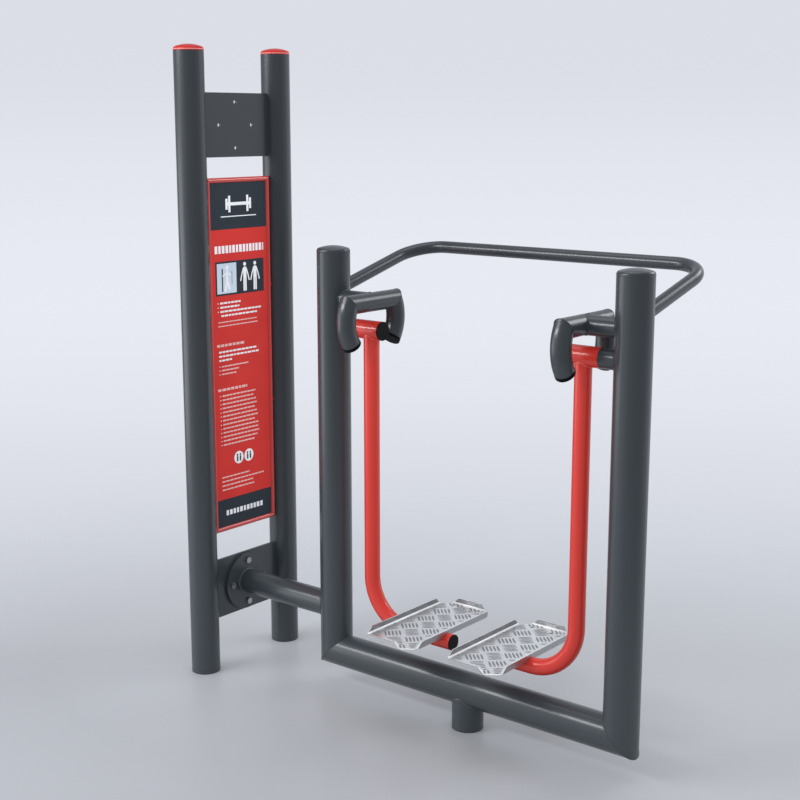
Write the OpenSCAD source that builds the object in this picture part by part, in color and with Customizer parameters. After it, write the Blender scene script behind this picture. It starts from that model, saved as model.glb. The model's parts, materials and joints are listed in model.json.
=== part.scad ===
// Outdoor air walker: a two-post frame with two swinging legs, coupled to a pylon with a sign.
// Origin on the ground, on the axis of the frame's foot. +X points away from the pylon,
// +Y points to the hand rail and +Z points up.

/* [Walker frame] */
// Distance between the axes of the two walker posts
post_pitch = 1038.5; // [960:0.5:1300]
// Outer diameter of the walker posts and of the base bar
frame_d = 101.6; // [96:0.1:114.3]
// Wall of the walker posts and of the base bar
frame_wall = 3.6; // [2.6:0.1:6]
// Height of the base bar's axis
bar_z = 120; // [90:1:150]
// Height of the rim that each walker post's cap sits on
post_rim_z = 1386.5; // [1340:0.5:1600]
// Outer diameter of the foot under the base bar
foot_d = 95; // [76.1:0.1:96]
// Wall of the foot
foot_wall = 5; // [4:0.5:8]
// Height of a domed cap above its rim
cap_rise = 19; // [10:0.5:24]
// Thickness of the plates that close the foot and the pylon posts below
end_plate_t = 6; // [4:0.5:10]

/* [Pylon] */
// Distance from the middle of the walker to the plane of the pylon posts
pylon_reach = 930.7; // [850:0.1:1200]
// Distance between the axes of the two pylon posts
pylon_pitch = 374; // [340:1:420]
// Outer diameter of the pylon posts
pylon_d = 93; // [80:0.1:101.6]
// Wall of the pylon posts and of the coupling tube
pylon_wall = 3.6; // [2.6:0.1:6]
// Height of the rim that each pylon post's cap sits on
pylon_rim_z = 1983; // [1920:1:2300]
// Height of each plate between the pylon posts
plate_h = 198; // [180:1:230]
// Thickness of each plate between the pylon posts
plate_t = 8; // [6:0.5:12]
// Height of the upper plate's middle
upper_plate_z = 1761; // [1740:1:1800]
// Height of the coupling tube's axis, which is also the lower plate's middle
coupling_z = 262; // [240:1:300]
// Pitch circle of the four holes in each plate
hole_pcd = 142; // [130:1:150]
// Diameter of the four holes in each plate
hole_d = 13; // [12.5:0.1:15]
// Number of holes in each plate
hole_count = 4; // [4:4:8]

/* [Coupling] */
// Outer diameter of the coupling tube
coupling_d = 80; // [60.3:0.1:88.9]
// Diameter of the round flange on the coupling tube
flange_d = 190; // [184:1:200]
// Thickness of the round flange
flange_t = 10; // [6:0.5:15]
// Diameter of the flange bolts
bolt_d = 12; // [10:0.5:12]
// Width across the flats of the bolt heads and nuts
bolt_flats = 19; // [17:0.5:21]
// Thickness of the bolt heads
bolt_head_h = 7.5; // [6:0.5:10]
// Thickness of the nuts
bolt_nut_h = 10; // [8:0.5:12]
// Diameter of the washers
bolt_washer_d = 24; // [22:0.5:26]
// Thickness of the washers
bolt_washer_t = 2.5; // [1.5:0.5:4]
// Length of thread that stands out of a nut
bolt_stick_out = 4; // [1:0.5:10]

/* [Sign] */
// Height of the sign frame's top edge
sign_top_z = 1599; // [1500:1:1640]
// Height of the sign frame's bottom edge
sign_bottom_z = 453; // [400:1:700]
// Diameter of the rod that frames the sign
sign_rod_d = 16; // [12:0.5:20]
// Gap between the sign frame and each pylon post
sign_gap = 1; // [0.5:0.5:6]
// How far the sign stands in front of the pylon's plane
sign_forward = 5.7; // [0:0.1:12]
// Thickness of the sign board
sign_board_t = 4; // [3:0.5:6]
// How deep the board's edges sit in the rod
sign_groove = 2; // [1:0.5:4]
// Diameter of the lugs that carry the sign frame
lug_d = 10; // [8:0.5:12]
// Height of the upper lugs
upper_lug_z = 1247; // [1100:1:1400]
// Height of the lower lugs
lower_lug_z = 861; // [750:1:1000]

/* [Hand rail] */
// Outer diameter of the hand rail
rail_d = 38; // [33.7:0.1:42.4]
// Wall of the hand rail
rail_wall = 3; // [2:0.1:4]
// Height at which the hand rail meets the post axes
rail_start_z = 1265; // [1200:1:1300]
// Slope of the hand rail's plane, in degrees
rail_slope = 15; // [0:1:25]
// Distance along the slope from the post axes to the rail's far run
rail_reach = 433; // [380:1:520]
// Radius of the rail's two corners
rail_bend_r = 112; // [80:1:150]

/* [Legs] */
// Distance from a post's axis to the axis of the leg beside it
leg_inset = 150; // [140:1:160]
// Height of the swing axis
pivot_z = 1161.5; // [1150:0.5:1172]
// Outer diameter of the leg tube
leg_d = 48.3; // [42.4:0.1:50]
// Wall of the leg tube
leg_wall = 3.2; // [2.5:0.1:4]
// Radius of the leg's bend
leg_bend_r = 145; // [120:1:150]
// Distance from the middle of the walker to the closed end of each leg
leg_end_reach = 54.2; // [45:0.1:60]
// Thickness of the cap on a leg's end
leg_cap_t = 3; // [2:0.5:5]

/* [Pivot] */
// Outer diameter of the hub and of the fixed housing
hub_d = 57; // [54:0.1:60.3]
// Distance from the leg's axis to the inner face of the hub's cap
hub_cap_reach = 45; // [44:0.5:50]
// Thickness of the hub's cap
hub_cap_t = 4; // [2:0.5:5]
// Distance from the leg's axis to the hub's outer end
hub_reach = 57.2; // [57:0.1:60]
// Running gap between the hub and the housing
hub_gap = 0.8; // [0.4:0.1:2]
// Diameter of the axle
axle_d = 25; // [20:0.5:25]
// Outer diameter of the bearings
bearing_d = 47; // [46:0.5:48]
// Width of the bearings
bearing_w = 12; // [10:0.5:12]
// Diameter of the bearing balls
ball_d = 6.35; // [5:0.05:6.5]
// Number of balls in one bearing
ball_count = 10; // [7:1:12]
// Largest swing of a leg to either side, in degrees
swing_stop = 52; // [48:1:56]

/* [Claw] */
// Height of the claw bar's axis above the swing axis
claw_rise = 84.1; // [78:0.1:92]
// Outer diameter of the claw bar and of its horns
claw_d = 57; // [54:0.1:60.3]
// Wall of the claw bar and of its horns
claw_wall = 4; // [3:0.1:6]
// Outer diameter of the stub that carries the claw
stub_d = 56; // [42.4:0.1:56.5]
// Wall of the stub
stub_wall = 3.6; // [2.5:0.1:5]
// Straight length of a horn after its mitre
horn_lead = 4; // [2:0.5:8]
// Outward lean of that straight length, in degrees
horn_flare = 24; // [18:1:28]
// Radius of a horn's bend
horn_bend_r = 116; // [112:0.5:122]
// Thickness of the rubber bumper on a horn's end
bumper_t = 10; // [6:0.5:14]
// Gap that is left between leg and bumper at the end of the swing
stop_gap = 0.35; // [0.3:0.05:1]

/* [Pedals] */
// Height of the pedals' tread
pedal_z = 285; // [270:0.5:300]
// Distance from the middle of the walker to the middle of each pedal
pedal_offset = 149.35; // [145:0.05:152]
// Half of a pedal's width
pedal_half_w = 93; // [85:0.5:96]
// Half of a pedal's length
pedal_half_l = 206; // [180:0.5:230]
// Thickness of the folded sheet
sheet_t = 3; // [2:0.5:4]
// Height of the folded edges above or below the tread
fold_h = 18; // [12:0.5:22]
// Diameter of the drain holes in the sheet
drain_d = 11; // [8:0.5:12]
// Length of the straps under a pedal
strap_l = 160; // [140:1:200]
// Width of the straps
strap_w = 30; // [24:1:40]
// Thickness of the straps
strap_t = 8; // [8:0.5:10]
// How deep the leg sits in the straps
strap_saddle = 1.15; // [0.5:0.05:3]
// Distance between the two straps of a pedal
strap_pitch = 80; // [70:1:90]
// Diameter of the studs that hold a pedal
stud_d = 8; // [6:0.5:8]
// Distance between the studs of a strap
stud_pitch = 116; // [106:1:120]

/* [Hidden] */
$fn = 96;

anthracite = [0.22, 0.24, 0.26];
signal_red = [0.80, 0.16, 0.13];
black = [0.07, 0.07, 0.08];
steel = [0.70, 0.71, 0.73];
alloy = [0.82, 0.83, 0.84];

// What a cut runs past the solid that it cuts
overrun = 1;
// Clearance of a part that is pressed or screwed onto another
seat_gap = 0.02;
// Clearance of a cap's spigot in its tube
plug_gap = 0.3;

post_x = post_pitch / 2;
frame_r = frame_d / 2;
pylon_r = pylon_d / 2;
leg_x = post_x - leg_inset;
leg_r = leg_d / 2;
hub_r = hub_d / 2;
claw_r = claw_d / 2;
claw_z = pivot_z + claw_rise;
// Height of the axis of the leg's level run, which lies in the pedal's straps
leg_low_z = pedal_z - sheet_t - strap_t + strap_saddle - leg_r;
mitre_span = 2 * frame_d;

// Shared shapes

module tube(d, wall, h) {
    difference() {
        cylinder(d = d, h = h);
        translate([0, 0, -overrun]) cylinder(d = d - 2 * wall, h = h + 2 * overrun);
    }
}

// A tube with a plate in its lower end
module closed_tube(d, wall, h) {
    difference() {
        cylinder(d = d, h = h);
        translate([0, 0, end_plate_t]) cylinder(d = d - 2 * wall, h = h);
    }
}

module ring(r_out, r_in, h) {
    difference() {
        cylinder(r = r_out, h = h);
        translate([0, 0, -overrun]) cylinder(r = r_in, h = h + 2 * overrun);
    }
}

// A stretch of bent tube round the Z axis, from the X axis on
module bend(bend_r, d, wall, sweep) {
    rotate_extrude(angle = sweep) translate([bend_r, 0]) difference() {
        circle(d = d);
        circle(d = d - 2 * wall);
    }
}

// Turns a shape that is drawn along +Z so that it lies along +X or +Y
module along_x() rotate([0, 90, 0]) children();
module along_y() rotate([-90, 0, 0]) children();

// Turns a flat bend so that its X and Y axes become the model's Y and Z axes
module upright() rotate([90, 0, 90]) children();

// The half space on the +X side of a point
module half_space(span) translate([0, -span, -span]) cube([2 * span, 2 * span, 2 * span]);

// Parts of the left side mirror those of the right side
module on_side(side) {
    if (side > 0) children();
    else mirror([1, 0, 0]) children();
}

module hex_bar(flats, h) cylinder(d = flats / cos(30), h = h, $fn = 6);

// Dished cap: a rim, a round shoulder that runs smoothly into a shallow dome, and a hollow
// spigot in the tube below
cap_rim_share = 0.15;
cap_shoulder_share = 0.5;
cap_plug_share = 0.2;
cap_plug_wall_share = 0.04;
cap_shoulder_steps = 14;
cap_dome_steps = 10;

module domed_cap(tube_d, wall) {
    rim_h = cap_rise * cap_rim_share;
    shoulder_r = cap_rise * cap_shoulder_share;
    shoulder_x = tube_d / 2 - shoulder_r;
    dome_z = (pow(cap_rise - shoulder_r, 2) - pow(shoulder_x, 2) - pow(rim_h, 2))
        / (2 * (cap_rise - shoulder_r - rim_h));
    dome_r = cap_rise - dome_z;
    // Angle, up from level, at which the shoulder turns into the dome
    turn = atan2(rim_h - dome_z, shoulder_x);
    plug_l = tube_d * cap_plug_share;
    plug_r = tube_d / 2 - wall - plug_gap;
    rotate_extrude() polygon(concat(
        [[0, 0], [tube_d / 2, 0]],
        [for (i = [0 : cap_shoulder_steps]) let (a = turn * i / cap_shoulder_steps)
            [shoulder_x + shoulder_r * cos(a), rim_h + shoulder_r * sin(a)]],
        [for (i = [1 : cap_dome_steps - 1]) let (a = turn + (90 - turn) * i / cap_dome_steps)
            [dome_r * cos(a), dome_z + dome_r * sin(a)]],
        [[0, cap_rise]]));
    translate([0, 0, -plug_l]) ring(plug_r, plug_r - tube_d * cap_plug_wall_share, plug_l);
}

// Pylon

module pylon_post(side) {
    color(anthracite) translate([-pylon_reach, side * pylon_pitch / 2, 0])
        closed_tube(pylon_d, pylon_wall, pylon_rim_z);
}

module pylon_cap(side) {
    color(signal_red) translate([-pylon_reach, side * pylon_pitch / 2, pylon_rim_z])
        domed_cap(pylon_d, pylon_wall);
}

// Places its children on every hole of a plate, with +Z along the model's +X
module at_holes() {
    along_x() for (i = [0 : hole_count - 1])
        rotate([0, 0, i * 360 / hole_count]) translate([hole_pcd / 2, 0, 0]) children();
}

// A plate that fills the gap between the posts, coped round both
module cross_plate(z) {
    color(anthracite) translate([-pylon_reach, 0, z]) difference() {
        translate([-plate_t / 2, -pylon_pitch / 2, -plate_h / 2])
            cube([plate_t, pylon_pitch, plate_h]);
        for (side = [-1, 1]) translate([0, side * pylon_pitch / 2, -plate_h])
            cylinder(r = pylon_r, h = 2 * plate_h);
        translate([-plate_t / 2 - overrun, 0, 0]) at_holes()
            cylinder(d = hole_d, h = plate_t + 2 * overrun);
    }
}

// Coupling between the pylon and the walker

flange_x = -pylon_reach + plate_t / 2;

module coupling_flange() {
    color(anthracite) translate([flange_x, 0, coupling_z]) difference() {
        along_x() cylinder(d = flange_d, h = flange_t);
        translate([-overrun, 0, 0]) at_holes() cylinder(d = hole_d, h = flange_t + 2 * overrun);
    }
}

module coupling_tube() {
    start_x = flange_x + flange_t;
    color(anthracite) difference() {
        translate([start_x, 0, coupling_z]) along_x()
            tube(coupling_d, pylon_wall, -post_x - start_x);
        translate([-post_x, 0, coupling_z - coupling_d]) cylinder(d = frame_d, h = 2 * coupling_d);
    }
}

bolt_front_x = flange_x + flange_t;
bolt_back_x = flange_x - plate_t;

module flange_bolts() {
    shank_l = bolt_front_x - bolt_back_x + bolt_washer_t + bolt_nut_h + bolt_stick_out;
    color(steel) translate([bolt_front_x, 0, coupling_z]) at_holes() {
        hex_bar(bolt_flats, bolt_head_h);
        translate([0, 0, -shank_l]) cylinder(d = bolt_d, h = shank_l);
    }
}

module flange_washers() {
    color(steel) translate([bolt_back_x - bolt_washer_t, 0, coupling_z]) at_holes()
        ring(bolt_washer_d / 2, hole_d / 2, bolt_washer_t);
}

module flange_nuts() {
    color(steel) translate([bolt_back_x - bolt_washer_t - bolt_nut_h, 0, coupling_z]) at_holes()
        difference() {
            hex_bar(bolt_flats, bolt_nut_h);
            translate([0, 0, -overrun])
                cylinder(d = bolt_d + 2 * seat_gap, h = bolt_nut_h + 2 * overrun);
        }
}

// Sign: a board in a frame of round rod, mitred at the top and round at the bottom

sign_x = -pylon_reach + sign_forward;
sign_half_w = pylon_pitch / 2 - pylon_r - sign_gap;
rod_y = sign_half_w - sign_rod_d / 2;
rod_top_z = sign_top_z - sign_rod_d / 2;
rod_bottom_z = sign_bottom_z + sign_rod_d / 2;
board_half_w = rod_y - sign_rod_d / 2 + sign_groove;
board_bottom_z = rod_bottom_z + sign_rod_d / 2 - sign_groove;
board_top_z = rod_top_z - sign_rod_d / 2 + sign_groove;

module sign_board() {
    color(signal_red) translate([sign_x - sign_board_t / 2, -board_half_w, board_bottom_z])
        cube([sign_board_t, 2 * board_half_w, board_top_z - board_bottom_z]);
}

module side_rod(side) {
    difference() {
        translate([sign_x, side * rod_y, rod_bottom_z])
            cylinder(d = sign_rod_d, h = rod_top_z - rod_bottom_z + sign_rod_d);
        translate([sign_x, side * rod_y, rod_top_z]) rotate([0, -90, side * 90])
            rotate([0, 45, 0]) half_space(2 * sign_rod_d);
    }
}

module top_rod() {
    difference() {
        translate([sign_x, -sign_half_w, rod_top_z]) along_y()
            cylinder(d = sign_rod_d, h = 2 * sign_half_w);
        for (side = [-1, 1]) translate([sign_x, side * rod_y, rod_top_z])
            rotate([0, 0, side * 90]) rotate([0, 45, 0]) half_space(2 * sign_rod_d);
    }
}

module sign_frame() {
    color(signal_red) difference() {
        union() {
            for (side = [-1, 1]) side_rod(side);
            top_rod();
            translate([sign_x, -rod_y, rod_bottom_z]) along_y()
                cylinder(d = sign_rod_d, h = 2 * rod_y);
            for (side = [-1, 1]) translate([sign_x, side * rod_y, rod_bottom_z])
                sphere(d = sign_rod_d);
        }
        sign_board();
    }
}

module sign_lugs() {
    color(signal_red) difference() {
        for (z = [upper_lug_z, lower_lug_z], side = [-1, 1])
            translate([sign_x, side * pylon_pitch / 2, z]) rotate([side * 90, 0, 0])
                cylinder(d = lug_d, h = pylon_pitch / 2 - rod_y);
        for (side = [-1, 1]) {
            translate([-pylon_reach, side * pylon_pitch / 2, 0])
                cylinder(r = pylon_r, h = pylon_rim_z);
            translate([sign_x, side * rod_y, 0]) cylinder(d = sign_rod_d, h = pylon_rim_z);
        }
    }
}

// Walker frame: two posts, mitred onto the base bar, on one foot

module frame_post(side) {
    color(anthracite) on_side(side) difference() {
        translate([post_x, 0, bar_z - frame_r]) tube(frame_d, frame_wall, post_rim_z - bar_z + frame_r);
        translate([post_x, 0, bar_z]) rotate([0, 135, 0]) half_space(mitre_span);
    }
}

module post_cap(side) {
    color(anthracite) on_side(side) translate([post_x, 0, post_rim_z])
        domed_cap(frame_d, frame_wall);
}

module base_bar() {
    color(anthracite) difference() {
        translate([-post_x - frame_r, 0, bar_z]) along_x()
            tube(frame_d, frame_wall, post_pitch + frame_d);
        for (side = [-1, 1]) on_side(side) translate([post_x, 0, bar_z])
            rotate([0, -45, 0]) half_space(mitre_span);
    }
}

module frame_foot() {
    color(anthracite) difference() {
        closed_tube(foot_d, foot_wall, bar_z);
        translate([-foot_d, 0, bar_z]) along_x() cylinder(d = frame_d, h = 2 * foot_d);
    }
}

// Hand rail: one bent tube in a sloping plane, coped onto both posts

module hand_rail() {
    side_l = rail_reach - rail_bend_r;
    color(anthracite) difference() {
        translate([0, 0, rail_start_z]) rotate([rail_slope, 0, 0]) {
            for (side = [-1, 1]) on_side(side) {
                translate([post_x, 0, 0]) along_y() tube(rail_d, rail_wall, side_l);
                translate([post_x - rail_bend_r, side_l, 0])
                    bend(rail_bend_r, rail_d, rail_wall, 90);
            }
            translate([rail_bend_r - post_x, rail_reach, 0]) along_x()
                tube(rail_d, rail_wall, post_pitch - 2 * rail_bend_r);
        }
        for (side = [-1, 1]) translate([side * post_x, 0, bar_z])
            cylinder(d = frame_d, h = post_rim_z - bar_z);
    }
}

// Pivot of a leg. Along the swing axis, u is the distance from the leg's axis towards the post.
// The axle sits in a housing on the post, and the hub turns on it in two ball bearings.

collar_share = 0.25;
nut_room_share = 0.45;
housing_u = hub_reach + hub_gap;
collar_l = housing_u - hub_reach + bearing_w * collar_share;
outer_bearing_u = housing_u - collar_l - bearing_w;
inner_bearing_u = -hub_cap_reach + hub_cap_t + bearing_d * nut_room_share;
axle_r = axle_d / 2;
bearing_r = bearing_d / 2;
// Radii inside a bearing, as shares of the way from its bore to its outside
inner_ring_share = 0.34;
outer_ring_share = 0.66;
bearing_depth = bearing_r - axle_r;
inner_ring_r = axle_r + bearing_depth * inner_ring_share;
outer_ring_r = axle_r + bearing_depth * outer_ring_share;
ball_circle_r = axle_r + bearing_depth / 2;
ball_r = ball_d / 2;
// Running clearance of a ball in its grooves
ball_gap = 0.06;
// Radius of the hub's bore between the bearings, which leaves a shoulder for each
shoulder_share = 0.22;
hub_mid_r = bearing_r - bearing_depth * shoulder_share;
// Sizes of the circlip, washer and nut, as shares of a bearing's depth or width
circlip_depth_share = 0.11;
circlip_in_share = 0.25;
circlip_t_share = 0.15;
washer_depth_share = 0.5;
washer_t_share = 0.25;
nut_width_share = 0.9;
tail_share = 0.15;
circlip_t = bearing_w * circlip_t_share;
circlip_depth = bearing_depth * circlip_depth_share;
circlip_in_r = bearing_r - bearing_depth * circlip_in_share;
axle_washer_t = bearing_w * washer_t_share;
axle_washer_r = axle_r + bearing_depth * washer_depth_share;
axle_nut_h = bearing_w * nut_width_share;
axle_nut_flats = 2 * axle_washer_r;
axle_tail = bearing_w * tail_share;
axle_end_u = inner_bearing_u - axle_washer_t - axle_nut_h - axle_tail;
// Depth of the axle in its housing, as a share of the housing's length on the axis
axle_seat_share = 0.72;
axle_seat_l = (leg_inset - frame_r - housing_u) * axle_seat_share;

// Places a shape that is drawn along +Z at u on the right leg's swing axis
module at_pivot(u) translate([leg_x + u, 0, pivot_z]) along_x() children();

module pivot_housing(side) {
    color(anthracite) on_side(side) difference() {
        at_pivot(housing_u) cylinder(r = hub_r, h = leg_inset - housing_u);
        translate([post_x, 0, pivot_z - hub_d]) cylinder(d = frame_d, h = 2 * hub_d);
        at_pivot(housing_u - overrun) cylinder(r = axle_r + seat_gap, h = axle_seat_l + overrun);
    }
}

module axle(side) {
    color(steel) on_side(side) {
        at_pivot(axle_end_u) cylinder(r = axle_r, h = housing_u + axle_seat_l - axle_end_u);
        at_pivot(housing_u - collar_l) cylinder(r = inner_ring_r, h = collar_l);
    }
}

module ball_groove() {
    translate([0, 0, bearing_w / 2]) rotate_extrude() translate([ball_circle_r, 0])
        circle(r = ball_r + ball_gap);
}

module bearing_ring(r_out, r_in) {
    difference() {
        ring(r_out, r_in, bearing_w);
        ball_groove();
    }
}

// Places its children in both bearing seats of one side
module at_bearings() for (u = [inner_bearing_u, outer_bearing_u]) at_pivot(u) children();

module bearing_inner_rings() {
    color(steel) for (side = [-1, 1]) on_side(side) at_bearings()
        bearing_ring(inner_ring_r, axle_r + seat_gap);
}

module bearing_balls() {
    color(steel) for (side = [-1, 1]) on_side(side) at_bearings()
        for (i = [0 : ball_count - 1]) rotate([0, 0, i * 360 / ball_count])
            translate([ball_circle_r, 0, bearing_w / 2]) sphere(r = ball_r, $fn = 32);
}

module bearing_outer_rings(side) {
    color(steel) on_side(side) at_bearings() bearing_ring(bearing_r - seat_gap, outer_ring_r);
}

module axle_spacers() {
    start_u = inner_bearing_u + bearing_w;
    color(steel) for (side = [-1, 1]) on_side(side) at_pivot(start_u)
        ring(inner_ring_r, axle_r + seat_gap, outer_bearing_u - start_u);
}

module axle_washers() {
    color(steel) for (side = [-1, 1]) on_side(side) at_pivot(inner_bearing_u - axle_washer_t)
        ring(axle_washer_r, axle_r + seat_gap, axle_washer_t);
}

module axle_nuts() {
    color(steel) for (side = [-1, 1]) on_side(side)
        at_pivot(inner_bearing_u - axle_washer_t - axle_nut_h) difference() {
            hex_bar(axle_nut_flats, axle_nut_h);
            translate([0, 0, -overrun])
                cylinder(r = axle_r + seat_gap, h = axle_nut_h + 2 * overrun);
        }
}

module hub(side) {
    start_u = -hub_cap_reach + hub_cap_t;
    color(signal_red) on_side(side) difference() {
        at_pivot(start_u) cylinder(r = hub_r, h = hub_reach - start_u);
        at_pivot(start_u - overrun)
            cylinder(r = bearing_r, h = inner_bearing_u + bearing_w - start_u + overrun);
        at_pivot(start_u) cylinder(r = hub_mid_r, h = hub_reach - start_u);
        at_pivot(outer_bearing_u)
            cylinder(r = bearing_r, h = hub_reach - outer_bearing_u + overrun);
        at_pivot(inner_bearing_u - circlip_t)
            cylinder(r = bearing_r + circlip_depth, h = circlip_t);
    }
}

module circlip(side) {
    color(steel) on_side(side) at_pivot(inner_bearing_u - circlip_t)
        ring(bearing_r + circlip_depth - seat_gap, circlip_in_r, circlip_t);
}

hub_plug_share = 1.3;

module hub_cap(side) {
    plug_r = bearing_r - plug_gap;
    plug_l = hub_cap_t * hub_plug_share;
    color(black) on_side(side) {
        at_pivot(-hub_cap_reach) cylinder(r = hub_r, h = hub_cap_t);
        at_pivot(-hub_cap_reach + hub_cap_t) ring(plug_r, plug_r - hub_cap_t / 2, plug_l);
    }
}

// Leg: one bent tube, coped onto the hub's underside, with a cap in its open end

module leg_tube(side) {
    low_start_x = leg_end_reach + leg_cap_t;
    bend_x = leg_x - leg_bend_r;
    bend_z = leg_low_z + leg_bend_r;
    color(signal_red) on_side(side) {
        difference() {
            translate([leg_x, 0, bend_z]) tube(leg_d, leg_wall, pivot_z - bend_z);
            at_pivot(-hub_d) cylinder(r = hub_r, h = 2 * hub_d);
        }
        translate([bend_x, 0, bend_z]) rotate([90, 0, 0]) rotate([0, 0, -90])
            bend(leg_bend_r, leg_d, leg_wall, 90);
        translate([low_start_x, 0, leg_low_z]) along_x()
            tube(leg_d, leg_wall, bend_x - low_start_x);
    }
}

leg_plug_share = 0.3;

module leg_end_cap(side) {
    plug_r = leg_r - leg_wall - plug_gap;
    color(black) on_side(side) translate([leg_end_reach, 0, leg_low_z]) along_x() {
        cylinder(r = leg_r, h = leg_cap_t);
        translate([0, 0, leg_cap_t]) ring(plug_r, plug_r - leg_cap_t, leg_d * leg_plug_share);
    }
}

// Claw: a stub on the post carries a bar along Y, and a horn with a rubber bumper curves down
// from each end. At the end of its swing the leg lies flat against a bumper.

swing_rise = claw_z - pivot_z;
stop_lean = swing_stop - horn_flare;
corner_y = (leg_r + stop_gap + horn_lead * sin(stop_lean) + horn_bend_r * cos(stop_lean)
    - swing_rise * sin(swing_stop)) / cos(swing_stop);
horn_mitre = (90 - horn_flare) / 2;
horn_centre_y = corner_y + horn_lead * sin(horn_flare) - horn_bend_r * cos(horn_flare);
horn_centre_z = claw_z - horn_lead * cos(horn_flare) - horn_bend_r * sin(horn_flare);
bumper_sweep = bumper_t / horn_bend_r * 180 / PI;
horn_sweep = horn_flare + 90 - swing_stop - bumper_sweep;
bumper_gap_share = 0.03;
bumper_plug_share = 0.2;

module claw_stub(side) {
    color(anthracite) on_side(side) difference() {
        translate([leg_x, 0, claw_z]) along_x() tube(stub_d, stub_wall, leg_inset);
        translate([post_x, 0, claw_z - stub_d]) cylinder(d = frame_d, h = 2 * stub_d);
        translate([leg_x, -stub_d, claw_z]) along_y() cylinder(r = claw_r, h = 2 * stub_d);
    }
}

// The half space beyond the mitre at the bar's rear end
module beyond_mitre() {
    translate([0, corner_y, 0]) rotate([-horn_mitre, 0, 0]) rotate([0, 0, 90])
        half_space(2 * claw_d);
}

module claw_bar(side) {
    color(anthracite) on_side(side) translate([leg_x, 0, claw_z]) difference() {
        translate([0, -corner_y - claw_d, 0]) along_y()
            tube(claw_d, claw_wall, 2 * (corner_y + claw_d));
        beyond_mitre();
        mirror([0, 1, 0]) beyond_mitre();
    }
}

// The flat frame of the rear horn's bend: its X axis points to where the bend starts, and its
// Y axis along the straight length there
module at_horn_bend() {
    translate([0, horn_centre_y, horn_centre_z - claw_z]) upright() rotate([0, 0, horn_flare])
        rotate([180, 0, 0]) children();
}

// A horn's straight length, too long for its mitre, and its bend
module horn_core(d) {
    translate([horn_bend_r, -horn_lead - claw_d, 0]) along_y()
        cylinder(d = d, h = horn_lead + claw_d);
    rotate_extrude(angle = horn_sweep) translate([horn_bend_r, 0]) circle(d = d);
}

module horn_shape() {
    at_horn_bend() difference() {
        horn_core(claw_d);
        horn_core(claw_d - 2 * claw_wall);
        translate([horn_bend_r, -horn_lead, 0]) rotate([0, 0, 270 - horn_mitre])
            half_space(2 * claw_d);
    }
}

// end is 1 for the rear horn and -1 for the front horn
module horn(side, end) {
    color(anthracite) on_side(side) translate([leg_x, 0, claw_z]) {
        if (end > 0) horn_shape();
        else mirror([0, 1, 0]) horn_shape();
    }
}

module bumper_shape() {
    at_horn_bend() rotate([0, 0, horn_sweep]) {
        rotate_extrude(angle = bumper_sweep) translate([horn_bend_r, 0]) circle(r = claw_r);
        translate([horn_bend_r, 0, 0]) rotate([90, 0, 0])
            cylinder(r = claw_r - claw_wall - claw_d * bumper_gap_share,
                h = claw_d * bumper_plug_share);
    }
}

module bumpers(side) {
    color(black) on_side(side) translate([leg_x, 0, claw_z]) {
        bumper_shape();
        mirror([0, 1, 0]) bumper_shape();
    }
}

// Pedals: both are the same folded sheet, so the left one isn't mirrored. The outline is in
// shares of the half width and the half length, anticlockwise from the near left corner.

near_share = 0.8325;
side_fold_share = 0.742;
near_flap_end_share = 0.108;
far_left_share = -0.645;
far_right_share = 0.634;
left_end_share = 0.86;
tongue_end_share = 0.573;
outline_shares = [
    [-1, -near_share], [near_flap_end_share, -near_share],
    [0.58, -1], [1, -0.864],
    [side_fold_share, -tongue_end_share], [side_fold_share, 1],
    [far_left_share, 1], [-1, left_end_share]];
drain_shares = [[0.4, -0.854], [0.32, 0.825], [-0.473, 0.864]];
// How far the end of a fold leans in or out over its height, in shares of that height
near_lean_share = 1.14;
far_lean_share = 0.94;
flap_left_lean_share = 1.17;
flap_right_lean_share = 0.67;
down_lean_share = 0.9;
corner_round_share = 0.45;

// Clearance of the folded side over the leg
notch_gap = 1;

pedal_under_z = pedal_z - sheet_t;
left_y = -pedal_half_l * near_share;
side_x = pedal_half_w * side_fold_share;
flap_left_x = pedal_half_w * far_left_share;
flap_right_x = pedal_half_w * far_right_share;

// Stands a profile up along Y, with its sheet on the +X side of the place
module fold_along_y() rotate([90, 0, 90]) linear_extrude(sheet_t) children();

// Stands a profile up along X, with its sheet on the -Y side of the place
module fold_along_x() rotate([90, 0, 0]) linear_extrude(sheet_t) children();

module tread() {
    difference() {
        linear_extrude(sheet_t) polygon([for (p = outline_shares)
            [p.x * pedal_half_w, p.y * pedal_half_l]]);
        for (p = drain_shares) translate([p.x * pedal_half_w, p.y * pedal_half_l, -overrun])
            cylinder(d = drain_d, h = sheet_t + 2 * overrun);
    }
}

module left_fold() {
    far_y = pedal_half_l * left_end_share;
    translate([-pedal_half_w - sheet_t, 0, 0]) fold_along_y() polygon([
        [left_y, 0], [far_y, 0], [far_y, sheet_t],
        [far_y - fold_h * far_lean_share, sheet_t + fold_h],
        [left_y + fold_h * near_lean_share, sheet_t + fold_h], [left_y, sheet_t]]);
}

module far_fold() {
    translate([0, pedal_half_l + sheet_t, 0]) fold_along_x() polygon([
        [flap_left_x, 0], [flap_right_x, 0], [flap_right_x, sheet_t],
        [flap_right_x - fold_h * flap_right_lean_share, sheet_t + fold_h],
        [flap_left_x + fold_h * flap_left_lean_share, sheet_t + fold_h], [flap_left_x, sheet_t]]);
}

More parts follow.
